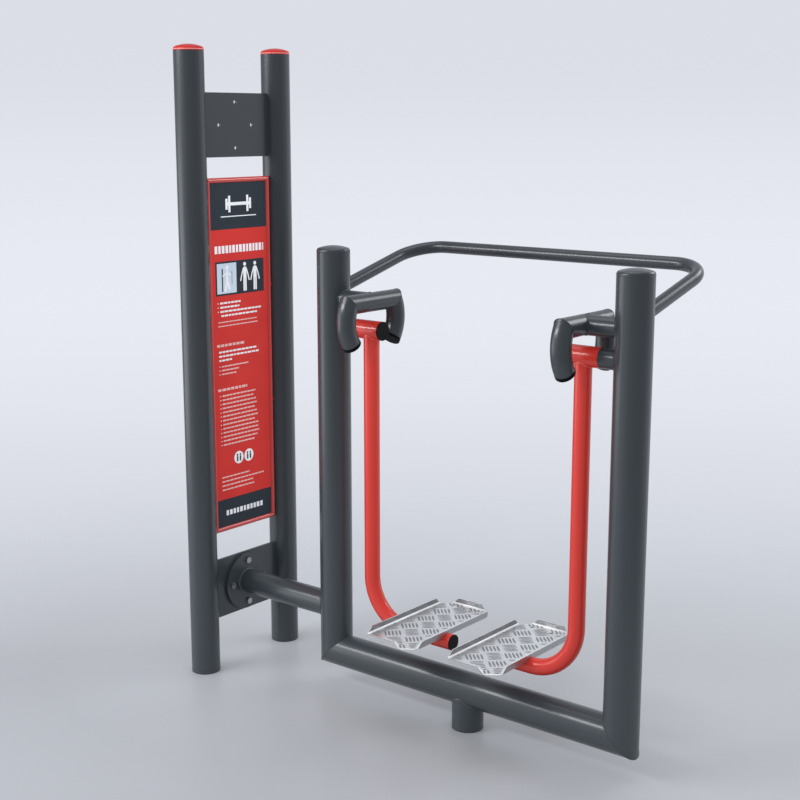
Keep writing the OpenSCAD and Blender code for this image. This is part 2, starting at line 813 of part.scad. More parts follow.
// The side that is folded down is notched over the leg
module side_fold() {
    near_y = -pedal_half_l * tongue_end_share;
    round_r = fold_h * corner_round_share;
    drop = sheet_t - fold_h;
    translate([side_x, 0, 0]) fold_along_y() difference() {
        polygon([[near_y, sheet_t], [near_y - fold_h * down_lean_share, drop],
            [pedal_half_l, drop], [pedal_half_l, sheet_t]]);
        difference() {
            translate([pedal_half_l - round_r, drop - round_r]) square(2 * round_r);
            translate([pedal_half_l - round_r, drop + round_r]) circle(r = round_r);
        }
        translate([0, leg_low_z - pedal_under_z]) circle(r = leg_r + notch_gap);
    }
}

module near_fold() {
    flap_end_x = pedal_half_w * near_flap_end_share;
    drop = sheet_t - fold_h;
    translate([0, left_y, 0]) fold_along_x() polygon([
        [-pedal_half_w, drop], [flap_end_x + fold_h * down_lean_share, drop],
        [flap_end_x, sheet_t], [-pedal_half_w, sheet_t]]);
}

module pedal(side) {
    color(alloy) translate([side * pedal_offset, 0, pedal_under_z]) {
        tread();
        left_fold();
        far_fold();
        side_fold();
        near_fold();
    }
}

// Places its children at every stud of a pedal, with the strap's top at the origin
module at_studs(side) {
    for (i = [-1, 1], j = [-1, 1])
        translate([side * pedal_offset + i * strap_pitch / 2, j * stud_pitch / 2, pedal_under_z])
            children();
}

module pedal_straps(side) {
    color(steel) difference() {
        for (i = [-1, 1])
            translate([side * pedal_offset + i * strap_pitch / 2 - strap_w / 2, -strap_l / 2,
                pedal_under_z - strap_t])
                cube([strap_w, strap_l, strap_t]);
        translate([side * pedal_offset - strap_pitch, 0, leg_low_z]) along_x()
            cylinder(r = leg_r, h = 2 * strap_pitch);
        at_studs(side) translate([0, 0, -strap_t - overrun])
            cylinder(d = stud_d + 2 * plug_gap, h = strap_t + 2 * overrun);
    }
}

// A stud with its nut, which is a share of the stud's diameter high
nut_h_share = 0.8;
nut_flats_share = 1.625;
stud_tail_share = 0.35;

module pedal_studs(side) {
    nut_h = stud_d * nut_h_share;
    stud_l = strap_t + nut_h + stud_d * stud_tail_share;
    color(steel) at_studs(side) {
        translate([0, 0, -stud_l]) cylinder(d = stud_d, h = stud_l);
        translate([0, 0, -strap_t - nut_h]) hex_bar(stud_d * nut_flats_share, nut_h);
    }
}

pylon_post(-1);  // pylon_post_front
pylon_post(1);  // pylon_post_rear
pylon_cap(-1);  // pylon_cap_front
pylon_cap(1);  // pylon_cap_rear
cross_plate(upper_plate_z);  // upper_plate
cross_plate(coupling_z);  // lower_plate
sign_frame();
sign_board();
sign_lugs();
coupling_flange();
coupling_tube();
flange_bolts();
flange_washers();
flange_nuts();
frame_post(-1);  // frame_post_left
frame_post(1);  // frame_post_right
post_cap(-1);  // post_cap_left
post_cap(1);  // post_cap_right
base_bar();
frame_foot();
hand_rail();
pivot_housing(-1);  // pivot_housing_left
pivot_housing(1);  // pivot_housing_right
axle(-1);  // axle_left
axle(1);  // axle_right
bearing_inner_rings();
bearing_balls();
axle_spacers();
axle_washers();
axle_nuts();
claw_stub(-1);  // claw_stub_left
claw_stub(1);  // claw_stub_right
claw_bar(-1);  // claw_bar_left
claw_bar(1);  // claw_bar_right
horn(-1, -1);  // horn_front_left
horn(1, -1);  // horn_front_right
horn(-1, 1);  // horn_rear_left
horn(1, 1);  // horn_rear_right
bumpers(-1);  // bumpers_left
bumpers(1);  // bumpers_right
hub(-1);  // hub_left
hub(1);  // hub_right
hub_cap(-1);  // hub_cap_left
hub_cap(1);  // hub_cap_right
bearing_outer_rings(-1);  // bearing_outer_rings_left
bearing_outer_rings(1);  // bearing_outer_rings_right
circlip(-1);  // circlip_left
circlip(1);  // circlip_right
leg_tube(-1);  // leg_tube_left
leg_tube(1);  // leg_tube_right
leg_end_cap(-1);  // leg_end_cap_left
leg_end_cap(1);  // leg_end_cap_right
pedal_straps(-1);  // pedal_straps_left
pedal_straps(1);  // pedal_straps_right
pedal(-1);  // pedal_left
pedal(1);  // pedal_right
pedal_studs(-1);  // pedal_studs_left
pedal_studs(1);  // pedal_studs_right
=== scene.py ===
import itertools
import json
import math

import bpy
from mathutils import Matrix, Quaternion, Vector, noise

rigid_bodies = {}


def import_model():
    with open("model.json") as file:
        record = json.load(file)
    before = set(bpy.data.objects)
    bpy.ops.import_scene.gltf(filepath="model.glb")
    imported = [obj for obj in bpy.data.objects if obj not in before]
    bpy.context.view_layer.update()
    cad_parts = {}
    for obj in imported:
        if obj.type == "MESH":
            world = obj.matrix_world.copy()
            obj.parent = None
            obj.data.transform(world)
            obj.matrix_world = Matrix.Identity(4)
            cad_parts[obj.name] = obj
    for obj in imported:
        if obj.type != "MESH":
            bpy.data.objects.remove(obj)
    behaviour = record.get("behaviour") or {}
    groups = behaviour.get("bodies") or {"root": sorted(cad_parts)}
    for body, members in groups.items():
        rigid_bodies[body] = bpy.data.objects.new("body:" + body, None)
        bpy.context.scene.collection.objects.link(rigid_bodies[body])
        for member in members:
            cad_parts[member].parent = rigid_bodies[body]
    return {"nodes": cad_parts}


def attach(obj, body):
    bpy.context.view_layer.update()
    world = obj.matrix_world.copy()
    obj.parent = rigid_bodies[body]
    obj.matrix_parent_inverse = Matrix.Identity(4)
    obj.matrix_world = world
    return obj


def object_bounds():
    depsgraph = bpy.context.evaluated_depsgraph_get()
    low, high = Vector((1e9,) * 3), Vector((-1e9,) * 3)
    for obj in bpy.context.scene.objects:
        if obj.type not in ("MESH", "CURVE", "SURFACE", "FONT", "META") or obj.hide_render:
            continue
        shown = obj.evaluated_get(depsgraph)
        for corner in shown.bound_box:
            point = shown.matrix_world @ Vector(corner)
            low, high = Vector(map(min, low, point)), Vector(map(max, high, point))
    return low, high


for leftover in list(bpy.data.objects):
    bpy.data.objects.remove(leftover)

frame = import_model()
cad_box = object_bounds()
nodes = frame["nodes"]

# Sizes that the pieces share with the solids, in metres
POST_X, POST_R, BAR_Z, RIM_Z = 0.51925, 0.0508, 0.120, 1.3865
PYLON_X, PYLON_Y, PYLON_R, PYLON_RIM_Z = -0.9307, 0.187, 0.0465, 1.983
FOOT_R = 0.0475
COUPLING_Z, COUPLING_R, FLANGE_FACE_X = 0.262, 0.040, -0.9167
UPPER_PLATE_Z, PLATE_FACE_X = 1.761, -0.9262
RAIL_R, RAIL_Z, RAIL_SLOPE = 0.019, 1.265, math.radians(15)
LEG_X, LEG_R, PIVOT_Z, HUB_R = 0.36925, 0.02415, 1.1615, 0.0285
CLAW_Z, CLAW_R, STUB_R = 1.2456, 0.0285, 0.028
CORNER_Y, FLARE, LEAD, HORN_R = 0.10156, math.radians(24), 0.004, 0.116
SWING_DEG, BUMPER_T = 52, 0.010
BOARD_X, BOARD_Y = -0.9230, 0.1255
BOARD_LOW_Z, BOARD_HIGH_Z = 0.467, 1.585
TREAD_Z, PEDAL_X, HALF_W, HALF_L = 0.285, 0.14935, 0.093, 0.206

X, Y, Z = (1, 0, 0), (0, 1, 0), (0, 0, 1)
SIDES = (("left", -1), ("right", 1))
ENDS = (("front", -1), ("rear", 1))


# Node trees

class Tree:
    """A node tree that is being built."""

    def __init__(self, tree):
        self.tree = tree

    def put(self, socket, value):
        """Link an output to a socket, or set the socket's own value."""
        if isinstance(value, bpy.types.NodeSocket):
            self.tree.links.new(value, socket)
        else:
            socket.default_value = value

    def add(self, kind, settings=None, **inputs):
        """A node, with its inputs by name and _ for a space in a name."""
        made = self.tree.nodes.new(kind)
        for key, value in (settings or {}).items():
            setattr(made, key, value)
        for key, value in inputs.items():
            self.put(made.inputs[key.replace("_", " ")], value)
        return made

    def in_order(self, kind, settings, *values):
        """A node, with its inputs in order."""
        made = self.add(kind, settings)
        for socket, value in zip(made.inputs, values):
            self.put(socket, value)
        return made

    def number(self, operation, *values):
        return self.in_order("ShaderNodeMath", {"operation": operation}, *values).outputs[0]

    def measure(self, operation, *vectors):
        made = self.in_order("ShaderNodeVectorMath", {"operation": operation}, *vectors)
        return made.outputs["Value"]

    def height(self, vector):
        return self.add("ShaderNodeSeparateXYZ", Vector=vector).outputs["Z"]

    def span(self, value, low, high, start=0.3, end=0.7):
        """From low to high in a straight line, while value goes from start to end."""
        return self.add("ShaderNodeMapRange", Value=value, From_Min=start, From_Max=end,
                        To_Min=low, To_Max=high).outputs[0]

    def smooth(self, value, low, high, start, end):
        """From low to high in a smooth step, while value goes from start to end."""
        return self.add("ShaderNodeMapRange", {"interpolation_type": "SMOOTHSTEP"}, Value=value,
                        From_Min=start, From_Max=end, To_Min=low, To_Max=high).outputs[0]

    def mix_shaders(self, share, first, second):
        return self.in_order("ShaderNodeMixShader", None, share, first, second).outputs[0]


class Shader(Tree):
    """A material with its node tree and main shader."""

    # Sockets of the Mix node for numbers and for colours
    NUMBER_A, NUMBER_B, NUMBER_OUT = 2, 3, 0
    COLOUR_A, COLOUR_B, COLOUR_OUT = 6, 7, 2

    def __init__(self, name):
        self.mat = bpy.data.materials.new(name)
        self.mat.use_nodes = True
        super().__init__(self.mat.node_tree)
        self.main = self.tree.nodes["Principled BSDF"]
        self.out = self.tree.nodes["Material Output"]
        self.coords = self.add("ShaderNodeTexCoord")
        self.place = self.coords.outputs["Object"]

    def noise(self, scale, detail, stretch=None):
        place = self.place
        if stretch:
            place = self.add("ShaderNodeMapping", Vector=place, Scale=stretch).outputs[0]
        made = self.add("ShaderNodeTexNoise", Vector=place, Scale=scale, Detail=detail)
        return made.outputs["Fac"]

    def blend(self, share, first, second):
        """A number between two others."""
        made = self.add("ShaderNodeMix", Factor=share)
        self.put(made.inputs[self.NUMBER_A], first)
        self.put(made.inputs[self.NUMBER_B], second)
        return made.outputs[self.NUMBER_OUT]

    def tint(self, share, first, second):
        """A colour between two others."""
        made = self.add("ShaderNodeMix", {"data_type": "RGBA"}, Factor=share)
        self.put(made.inputs[self.COLOUR_A], first)
        self.put(made.inputs[self.COLOUR_B], second)
        return made.outputs[self.COLOUR_OUT]

    def bump(self, height, distance, strength):
        return self.add("ShaderNodeBump", Height=height, Distance=distance,
                        Strength=strength).outputs[0]

    def finish(self, colour, rough, metal=0.0, normal=None, **rest):
        self.put(self.main.inputs["Base Color"], colour)
        self.put(self.main.inputs["Roughness"], rough)
        self.put(self.main.inputs["Metallic"], metal)
        if normal:
            self.put(self.main.inputs["Normal"], normal)
        for key, value in rest.items():
            self.put(self.main.inputs[key.replace("_", " ")], value)
        return self.mat


def linear(r, g, b):
    """A colour given in 0 to 255 as shown, in linear light."""
    out = []
    for c in (r, g, b):
        c /= 255
        out.append(c / 12.92 if c <= 0.04045 else ((c + 0.055) / 1.055) ** 2.4)
    return (*out, 1)


def shade(colour, share):
    """A colour in linear light, made darker or lighter, with its alpha."""
    return tuple(c * share for c in colour[:3]) + (1,)


# Materials

def powder_coat(name, base, rough, specular=0.5, low=None):
    """Baked powder coat with faint orange peel. Where low is given, the coat turns to that paler
    colour towards the ground: painted light, as bounced up from the floor."""
    s = Shader(name)
    colour = shade(base, 1)
    if low:
        # Painted light: paler towards the ground.
        colour = s.tint(s.span(s.height(s.place), 0, 1, 0.2, 1.5), shade(low, 1), colour)
    peel = s.bump(s.noise(300, 1), distance=0.000004, strength=0.30)
    return s.finish(colour, rough, normal=peel, Specular_IOR_Level=specular)


def bare_metal(name, base, rough, depth):
    """Bare or plated metal with faint stains and a fine grain of a given depth."""
    s = Shader(name)
    colour = s.tint(s.span(s.noise(26, 5), 0, 1), shade(base, 0.94), shade(base, 1.06))
    marks = s.span(s.noise(90, 4), rough - 0.08, rough + 0.10)
    return s.finish(colour, marks, metal=1.0, normal=s.bump(s.noise(500, 3), depth, 0.6))


def moulded(name, base, rough):
    """Moulded plastic or rubber with a fine grain."""
    s = Shader(name)
    colour = s.tint(s.span(s.noise(40, 3), 0, 1), shade(base, 0.85), shade(base, 1.25))
    marks = s.span(s.noise(120, 3), rough - 0.06, rough + 0.06)
    return s.finish(colour, marks, normal=s.bump(s.noise(700, 3), 0.00006, 0.5),
                    Specular_IOR_Level=0.11)


def tread_metal(name, polished, dull):
    """Aluminium tread sheet: polished on top by shoes, with the dull mill finish on its folds. The
    folds' colour also holds painted shade and light: darker where they stand above the tread,
    lighter where they turn down below it, and lighter on faces that look along the pedal than on
    side faces.
    """
    s = Shader(name)
    normal = s.add("ShaderNodeSeparateXYZ", Vector=s.coords.outputs["Normal"])
    top = s.span(normal.outputs["Z"], 0, 1, 0.55, 0.85)
    # Painted light: faces that look along the pedal get a lighter copy of the fold colour than the
    # side faces.
    end_face_light_mask = s.span(s.number("ABSOLUTE", normal.outputs["Y"]), 0, 1, 0.3, 0.8)
    # Painted shade and light: fold faces above the tread are darkened, those below it lightened.
    standing = s.span(s.height(s.place), 0, 1, TREAD_Z - 0.002, TREAD_Z + 0.001)
    cloud = s.span(s.noise(34, 5, (1, 2.5, 2.5)), 0, 1)
    grain = s.span(s.noise(260, 4, (1, 1, 3)), 0, 1)
    bright = s.tint(cloud, shade(polished, 0.93), shade(polished, 1.07))
    side = s.tint(standing, shade(dull, 1.30), shade(dull, 0.65))
    pale_side = s.tint(standing, shade(dull, 1.60), shade(dull, 1.05))
    end = s.tint(standing, shade(dull, 1.90), shade(dull, 0.95))
    mill = s.tint(grain, s.tint(end_face_light_mask, side, end), s.tint(end_face_light_mask, pale_side, end))
    rough = s.blend(top, 0.42, s.span(s.noise(70, 4), 0.24, 0.34))
    return s.finish(s.tint(top, mill, bright), rough, metal=1.0,
                    normal=s.bump(s.noise(180, 2), 0.00003, 0.3))


def print_film(name, base, rough=0.42):
    """Printed film on the sign board, with a faint waviness."""
    s = Shader(name)
    colour = s.tint(s.span(s.noise(9, 3), 0, 1), shade(base, 0.95), shade(base, 1.05))
    marks = s.span(s.noise(30, 3), rough - 0.04, rough + 0.05)
    return s.finish(colour, marks, normal=s.bump(s.noise(60, 2), 0.0001, 0.4),
                    Specular_IOR_Level=0.12)


MATERIALS = {
    # The anthracite turns paler towards the ground: painted light bounced up from the floor.
    "anthracite": powder_coat("anthracite_coat", (0.0285, 0.0345, 0.0400), 0.27, specular=0.60,
                              low=(0.0385, 0.0480, 0.0545)),
    "signal_red": powder_coat("red_coat", (0.56, 0.034, 0.023), 0.22),
    "sign_face": print_film("sign_red", (0.63, 0.037, 0.030), 0.40),
    "zinc": bare_metal("zinc_plate", (0.46, 0.47, 0.49), 0.36, depth=0.00002),
    "bearing_steel": bare_metal("ground_steel", (0.62, 0.62, 0.63), 0.24, depth=0.00001),
    "rubber": moulded("black_rubber", (0.0030, 0.0030, 0.0034), 0.58),
    "black_plastic": moulded("black_plastic", (0.0028, 0.0028, 0.0034), 0.40),
    "tread": tread_metal("tread_sheet", (0.87, 0.88, 0.89), (0.33, 0.335, 0.34)),
}
# Near-white coat on the bends and the tread's edges: painted highlight.
FOLD_HIGHLIGHT_COAT = powder_coat("fold_bends", (0.93, 0.94, 0.95), 0.26)
# The raised bars are darker than the sheet they stand on: painted shade.
TREAD_BARS = bare_metal("tread_bars", (0.36, 0.365, 0.37), 0.46, depth=0.00001)
# Welds at the leg, the foot and the flange, coated lighter than the coat round them: painted
# highlight along these seams.
WELD_HIGHLIGHT_COAT = powder_coat("anthracite_weld", (0.070, 0.076, 0.084), 0.20, specular=0.9)
RED_WELD_HIGHLIGHT = powder_coat("red_weld", (0.72, 0.10, 0.08), 0.20, specular=0.9)
FRAME_GLOSS = powder_coat("frame_gloss", (0.50, 0.040, 0.034), 0.12, specular=0.9)
# The pylon caps' red is darker than the red coat elsewhere: painted shade on the domes.
SHADED_CAP_COAT = powder_coat("cap_coat", (0.42, 0.020, 0.016), 0.30, specular=0.15)
# Pale ring on the pylon caps: painted highlight.
CAP_HIGHLIGHT_RING = powder_coat("cap_edge", (0.90, 0.42, 0.40), 0.30)
PRINTS = {
    "dark": print_film("print_dark", (0.028, 0.037, 0.047)),
    "white": print_film("print_white", (0.86, 0.86, 0.87)),
    "pale": print_film("print_pale", (0.58, 0.68, 0.76)),
    "fine": print_film("print_fine", (0.80, 0.50, 0.47)),
}
OWN_COATS = {"pylon_cap_front": SHADED_CAP_COAT, "pylon_cap_rear": SHADED_CAP_COAT, "sign_frame": FRAME_GLOSS}

for name, cad in nodes.items():
    for own in cad.material_slots:
        own.material = OWN_COATS.get(name) or MATERIALS[own.material.name.split(".")[0]]


# Mesh helpers

RING_STEPS = 110    # points round a seam
BEAD_SIDES = 10     # sides of a bead
BLUNT = 0.02        # how far a bead's ends stay open, as a squared share of its radius
SWEPT_LAYER, STICK_LAYER = 0, 5     # layers of noise that the two kinds of bead swell by


def piece(name, verts, faces, body, slot, material=None, smooth=True):
    """A mesh that rides on a body. Its points are kept inside the CAD box."""
    inside_box = [tuple(min(max(c, low), high) for c, low, high in zip(v, *cad_box))
                  for v in verts]
    mesh = bpy.data.meshes.new(name)
    mesh.from_pydata(inside_box, [], faces)
    mesh.polygons.foreach_set("use_smooth", [smooth] * len(mesh.polygons))
    mesh.update()
    made = bpy.data.objects.new(name, mesh)
    bpy.context.scene.collection.objects.link(made)
    made.data.materials.append(material or MATERIALS[slot])
    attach(made, body)


def spokes(along, count, out=None):
    """Unit vectors that point out all round an axis, from out on where it is given."""
    if out is None:
        out = along.orthogonal().normalized()
    side = along.cross(out)
    turns = [2 * math.pi * k / count for k in range(count)]
    return [out * math.cos(a) + side * math.sin(a) for a in turns]


def swell(i, ripple, seed, layer):
    """How thick a weld bead is at ring i, as a share of its radius."""
    return 1 + ripple * (math.sin(i * 2.1) * 0.5 + noise.noise(Vector((i * 0.37, seed, layer))))


def band(i, j, sides):
    """Faces between two rings of a tube."""
    around = [(k, (k + 1) % sides) for k in range(sides)]
    return [(i * sides + k, j * sides + k, j * sides + m, i * sides + m) for k, m in around]


def swept(path, radius, sides=BEAD_SIDES, ripple=0.0, seed=0):
    """Vertices and faces of a closed tube along a closed path, rippled like a weld bead."""
    count = len(path)
    middle = sum(path, Vector()) / count
    verts, faces = [], []
    for i, p in enumerate(path):
        ahead = (path[(i + 1) % count] - path[i - 1]).normalized()
        out = ((p - middle).cross(ahead).cross(ahead) * -1).normalized()
        share = swell(i, ripple, seed, SWEPT_LAYER)
        verts.extend(p + spoke * radius * share for spoke in spokes(ahead, sides, out))
        faces.extend(band(i, (i + 1) % count, sides))
    return verts, faces


def stick(start, end, radius, steps=40, ripple=0.25, seed=0):
    """Vertices and faces of a straight bead with closed, rounded ends."""
    start, end = Vector(start), Vector(end)
    ring = spokes((end - start).normalized(), BEAD_SIDES)
    verts, faces = [], []
    for i in range(steps + 1):
        t = i / steps
        near = min(t, 1 - t) * (end - start).length / radius
        r = radius * math.sqrt(max(BLUNT, 1 - (1 - min(1, near)) ** 2))
        r *= swell(i, ripple, seed, STICK_LAYER)
        verts.extend(start.lerp(end, t) + spoke * r for spoke in ring)
    for i in range(steps):
        faces.extend(band(i, i + 1, BEAD_SIDES))
    faces.append(tuple(range(BEAD_SIDES))[::-1])
    faces.append(tuple(steps * BEAD_SIDES + k for k in range(BEAD_SIDES)))
    return verts, faces


def saddle(point, along, r, big_point, big_along, big_r):
    """Where a tube that starts at point and runs along meets a larger tube, nearest the point."""
    point, along = Vector(point), Vector(along).normalized()
    big_point, big_along = Vector(big_point), Vector(big_along).normalized()
    u = along - big_along * along.dot(big_along)
    path = []
    for spoke in spokes(along, RING_STEPS):
        p = point + spoke * r
        q = p - big_point
        q -= big_along * q.dot(big_along)
        a, b, c = u.dot(u), 2 * q.dot(u), q.dot(q) - big_r * big_r
        path.append(p + along * ((-b - math.sqrt(max(0, b * b - 4 * a * c))) / (2 * a)))
    return path


def mitre(corner, first, second, r):
    """The seam where two tubes of one size, of directions first and second, meet at a corner."""
    corner, first, second = Vector(corner), Vector(first).normalized(), Vector(second).normalized()
    across = (first + second).normalized()
    path = []
    for spoke in spokes(first, RING_STEPS):
        p = spoke * r
        path.append(corner + p - first * (p.dot(across) / first.dot(across)))
    return path


def circle(centre, along, r):
    return [Vector(centre) + spoke * r for spoke in spokes(Vector(along).normalized(), RING_STEPS)]


# Weld seams. Each saddle starts from a point on the smaller tube's axis, clear of the larger one.

BEAD_R = {"leg": 0.0018, "housing": 0.0024, "stub_post": 0.0022, "stub_bar": 0.0020,
          "rail": 0.0020, "corner": 0.0011, "cap": 0.0009, "horn": 0.0010, "pylon_cap": 0.0012,
          "foot": 0.0022, "coupling": 0.0026, "plate": 0.0022}
WELD_RIPPLE, MITRE_RIPPLE, CAP_RIPPLE, PYLON_CAP_RIPPLE = 0.22, 0.15, 0.3, 0.1
TO_HUB_Z, TO_POST_X, TO_BAR_X, RAIL_BACK = 0.9, 0.43, 0.44, 0.1
TO_BASE_Z, COUPLING_TO_POST_X = 0.02, -0.7
CAP_SINK, PYLON_CAP_SINK, PYLON_CAP_RISE = 0.0004, 0.0010, 0.0034
FLANGE_GAP, PLATE_GAP, PLATE_WELD_HALF = 0.0006, 0.0003, 0.097
bead_seeds = itertools.count(1)


def bead(name, path, r, body="frame", slot="anthracite", ripple=WELD_RIPPLE, material=None):
    piece(name, *swept(path, r, ripple=ripple, seed=next(bead_seeds)), body, slot, material)


for (word, side), (pylon_word, _) in zip(SIDES, ENDS):
    post = (side * POST_X, 0, 0)
    inward, outward = (-side, 0, 0), (side, 0, 0)
    # The leg weld's lighter red: painted highlight.
    bead("weld_leg_" + word,
         saddle((side * LEG_X, 0, TO_HUB_Z), Z, LEG_R, (side * LEG_X, 0, PIVOT_Z), X, HUB_R),
         BEAD_R["leg"], word + "_leg", "signal_red", material=RED_WELD_HIGHLIGHT)
    bead("weld_housing_" + word,
         saddle((side * TO_POST_X, 0, PIVOT_Z), outward, HUB_R, post, Z, POST_R),
         BEAD_R["housing"])
    bead("weld_stub_post_" + word,
         saddle((side * TO_POST_X, 0, CLAW_Z), outward, STUB_R, post, Z, POST_R),
         BEAD_R["stub_post"])
    bead("weld_stub_bar_" + word,
         saddle((side * TO_BAR_X, 0, CLAW_Z), inward, STUB_R,
                (side * LEG_X, 0, CLAW_Z), Y, CLAW_R), BEAD_R["stub_bar"])
    slope = Vector((0, math.cos(RAIL_SLOPE), math.sin(RAIL_SLOPE)))
    far = Vector((side * POST_X, 0, RAIL_Z)) + slope * RAIL_BACK
    bead("weld_rail_" + word, saddle(far, slope * -1, RAIL_R, post, Z, POST_R), BEAD_R["rail"])
    bead("weld_corner_" + word, mitre((side * POST_X, 0, BAR_Z), (0, 0, -1), inward, POST_R),
         BEAD_R["corner"], ripple=MITRE_RIPPLE)
    bead("seam_cap_" + word, circle((side * POST_X, 0, RIM_Z), Z, POST_R - CAP_SINK),
         BEAD_R["cap"], ripple=CAP_RIPPLE)
    for end_word, end in ENDS:
        bead("weld_horn_%s_%s" % (end_word, word),
             mitre((side * LEG_X, end * CORNER_Y, CLAW_Z), (0, end, 0),
                   (0, end * math.sin(FLARE), -math.cos(FLARE)), CLAW_R),
             BEAD_R["horn"], ripple=MITRE_RIPPLE)
    # A pale ring on each pylon cap, a little above its rim: painted highlight, not a seam.
    bead("pylon_cap_highlight_ring_" + pylon_word,
         circle((PYLON_X, side * PYLON_Y, PYLON_RIM_Z + PYLON_CAP_RISE), Z,
                PYLON_R - PYLON_CAP_SINK),
         BEAD_R["pylon_cap"], slot="signal_red", ripple=PYLON_CAP_RIPPLE, material=CAP_HIGHLIGHT_RING)

# Lighter weld coat at the foot and the flange: painted highlight.
bead("weld_foot", saddle((0, 0, TO_BASE_Z), Z, FOOT_R, (0, 0, BAR_Z), X, POST_R),
     BEAD_R["foot"], material=WELD_HIGHLIGHT_COAT)
bead("weld_coupling_post",
     saddle((COUPLING_TO_POST_X, 0, COUPLING_Z), X, COUPLING_R, (-POST_X, 0, 0), Z, POST_R),
     BEAD_R["coupling"])
bead("weld_coupling_flange", circle((FLANGE_FACE_X + FLANGE_GAP, 0, COUPLING_Z), X, COUPLING_R),
     BEAD_R["coupling"], material=WELD_HIGHLIGHT_COAT)

for plate_word, z in (("upper", UPPER_PLATE_Z), ("lower", COUPLING_Z)):
    for end_word, end in ENDS:
        y = end * (PYLON_Y - PYLON_R - PLATE_GAP)
        piece("weld_%s_plate_%s" % (plate_word, end_word),
              *stick((PLATE_FACE_X, y, z - PLATE_WELD_HALF),
                     (PLATE_FACE_X, y, z + PLATE_WELD_HALF), BEAD_R["plate"], seed=z),
              "frame", "anthracite")


# Ridges round the rubber bumpers

RIDGES, RIDGE_START, RIDGE_PITCH = 4, 0.0016, 0.0023
RIDGE_R, RIDGE_SINK, RIDGE_SIDES = 0.0007, 0.0003, 8


def horn_point(end, along):
    """Centre and direction of a horn's bend at a length from where the bend starts."""
    a = FLARE - along / HORN_R
    y = CORNER_Y + LEAD * math.sin(FLARE) - HORN_R * (math.cos(FLARE) - math.cos(a))
    z = CLAW_Z - LEAD * math.cos(FLARE) - HORN_R * (math.sin(FLARE) - math.sin(a))
    return (end * y, z), (end * math.sin(a), -math.cos(a))


horn_length = HORN_R * (FLARE + math.radians(90 - SWING_DEG))
for word, side in SIDES:
    verts, faces = [], []
    for _, end in ENDS:
        for k in range(RIDGES):
            along = horn_length - BUMPER_T + RIDGE_START + k * RIDGE_PITCH
            (y, z), (dy, dz) = horn_point(end, along)
            ring = circle((side * LEG_X, y, z), (0, dy, dz), CLAW_R - RIDGE_SINK)
            ring_verts, ring_faces = swept(ring, RIDGE_R, sides=RIDGE_SIDES)
            faces.extend(tuple(n + len(verts) for n in f) for f in ring_faces)
            verts.extend(ring_verts)
    piece("bumper_ridges_" + word, verts, faces, "frame", "rubber")


# Raised pattern on the pedals

GROUP_REACH, BARS_IN_GROUP = 9, 5   # groups of bars on each side of the middle; bars in each
PROBES, PROBES_NEEDED = 20, 11      # places on each half of a bar, and how many have to be clear
BAR_STEPS, BAR_ROWS = 14, 5         # a bar's mesh, along and across
EDGE_MARGIN, BAR_SINK = 0.0045, 0.0001

# The tread's outline and its drain holes, as shares of its half width and half length
OUTLINE = [(-1, -.8325), (.108, -.8325), (.58, -1), (1, -.864), (.742, -.573), (.742, 1),
           (-.645, 1), (-1, .86)]
DRAINS = [(.4, -.854), (.32, .825), (-.473, .864)]
DRAIN_CLEAR_R = 0.0075


def inside(p, outline, margin):
    """Whether a point lies in an outline, at least margin from its edge."""
    x, y = p
    odd = False
    for (ax, ay), (bx, by) in zip(outline, outline[1:] + outline[:1]):
        if (ay > y) != (by > y) and x < (bx - ax) * (y - ay) / (by - ay) + ax:
            odd = not odd
        length = math.hypot(bx - ax, by - ay)
        t = max(0, min(1, ((x - ax) * (bx - ax) + (y - ay) * (by - ay)) / length ** 2))
        if math.hypot(x - ax - t * (bx - ax), y - ay - t * (by - ay)) < margin:
            return False
    return odd


def clear_run(centre, along, length, outline, holes):
    """The first stretch of a bar that is clear of the tread's edge and holes, as places along."""
    run = []
    for s in range(-PROBES, PROBES + 1):
        t = s / (2 * PROBES) * length
        p = (centre[0] + along[0] * t, centre[1] + along[1] * t)
        clear = all(math.hypot(p[0] - h[0], p[1] - h[1]) > h[2] for h in holes)
        if inside(p, outline, EDGE_MARGIN) and clear:
            run.append(t)
        elif run:
            break
    return run


def lens_bars(outline, holes, height, width, length, pitch, cell, shift):
    """Five-bar tread pattern: groups of bars that turn by a right angle from cell to cell."""
    groups = []
    for i in range(-GROUP_REACH, GROUP_REACH + 1):
        for j in range(-GROUP_REACH, GROUP_REACH + 1):
            groups.append((i * cell + shift[0], j * cell + shift[1], -45))
            groups.append(((i + 0.5) * cell + shift[0], (j + 0.5) * cell + shift[1], 45))
    verts, faces = [], []
    for gx, gy, turn in groups:
        along = (math.cos(math.radians(turn)), math.sin(math.radians(turn)))
        across = (-along[1], along[0])
        for k in range(BARS_IN_GROUP):
            off = k - BARS_IN_GROUP // 2
            cx, cy = gx + across[0] * off * pitch, gy + across[1] * off * pitch
            run = clear_run((cx, cy), along, length, outline, holes)
            if len(run) < PROBES_NEEDED:
                continue
            low, high = run[0], run[-1]
            base = len(verts)
            for a in range(BAR_STEPS + 1):
                u = -math.cos(math.pi * a / BAR_STEPS)
                t = (low + high) / 2 + u * (high - low) / 2
                half = width / 2 * math.sqrt(max(0, 1 - u * u)) ** 0.8
                top = height * math.sqrt(max(0, 1 - u * u)) ** 0.7
                for b in range(BAR_ROWS):
                    v = -1 + 2 * b / (BAR_ROWS - 1)
                    x = cx + along[0] * t + across[0] * v * half
                    y = cy + along[1] * t + across[1] * v * half
                    verts.append((x, y, top * (1 - v * v) ** 0.6))
            for a in range(BAR_STEPS):
                for b in range(BAR_ROWS - 1):
                    n = base + a * BAR_ROWS + b
                    faces.append((n, n + BAR_ROWS, n + BAR_ROWS + 1, n + 1))
    return verts, faces


